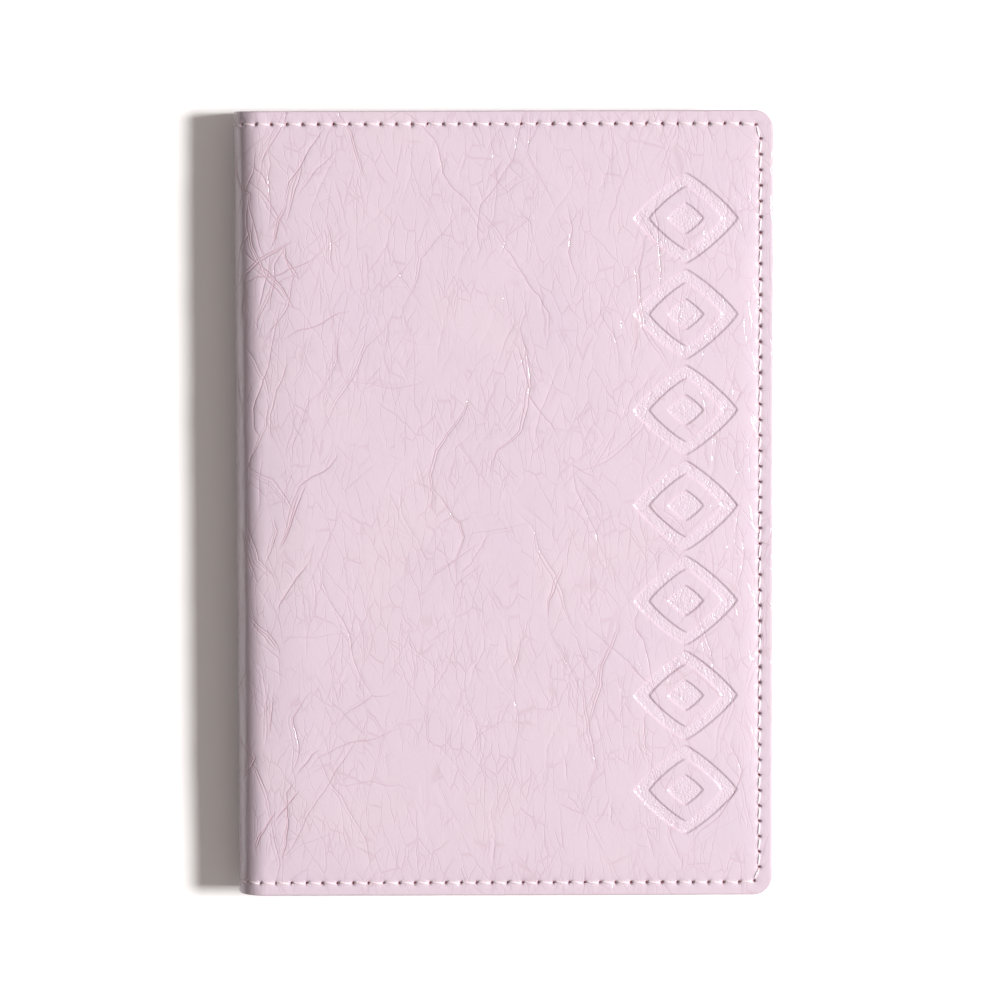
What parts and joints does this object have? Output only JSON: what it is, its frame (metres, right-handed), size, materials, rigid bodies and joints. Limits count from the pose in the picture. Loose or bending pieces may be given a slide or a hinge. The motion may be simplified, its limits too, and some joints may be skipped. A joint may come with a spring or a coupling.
{
  "type": "passport holder",
  "caption": "Bifold passport holder in padded patent leather with a half-round spine, stitched painted edges, booklet pockets and card slots.",
  "frame": {"origin": "centre of the bottom of the bounding box of the closed holder lying on its back cover", "axes": "+X from the spine towards the fore edge, +Y towards the top edge, +Z out of the front cover"},
  "size_m": [0.0981, 0.1436, 0.0128],
  "materials": {
    "cover_patent_leather": "crinkled patent, glossy",
    "lining_leather": "fine grain, satin",
    "pocket_leather": "smooth grain, satin",
    "edge_paint": "satin edge coat",
    "seam_thread": "waxed twisted thread",
    "bobbin_thread": "twisted thread",
    "padding_foam": "soft foam sheet",
    "stiffener_board": "bonded fibre board, matt"
  },
  "bodies": {
    "back_cover": {"back_cover_leather": "cover_patent_leather", "back_foam_padding": "padding_foam", "back_stiffener_board": "stiffener_board", "back_lining": "lining_leather", "back_pocket_panel": "pocket_leather", "back_pocket_edge_stitches": "bobbin_thread", "back_edge_paint": "edge_paint", "back_seam_stitches": "seam_thread", "back_seam_inner_stitches": "bobbin_thread"},
    "spine": {"spine_leather": "cover_patent_leather", "spine_reinforcement": "stiffener_board", "spine_lining": "lining_leather", "spine_edge_paint": "edge_paint", "spine_seam_stitches": "seam_thread", "spine_seam_inner_stitches": "bobbin_thread"},
    "front_cover": {"front_cover_leather": "cover_patent_leather", "front_foam_padding": "padding_foam", "front_stiffener_board": "stiffener_board", "front_lining": "lining_leather", "front_pocket_panel": "pocket_leather", "upper_card_slot": "pocket_leather", "lower_card_slot": "pocket_leather", "card_slot_stitches": "bobbin_thread", "front_edge_paint": "edge_paint", "front_seam_stitches": "seam_thread", "front_seam_inner_stitches": "bobbin_thread"}
  },
  "joints": [
    {"name": "back_fold", "type": "hinge", "parent": "back_cover", "child": "spine", "pos_m": [-0.04749, 0, 0.00271], "axis": [0, -1, 0], "range_deg": [0, 90]},
    {"name": "front_fold", "type": "hinge", "parent": "spine", "child": "front_cover", "pos_m": [-0.04749, 0, 0.01009], "axis": [0, -1, 0], "range_deg": [0, 90]}
  ]
}
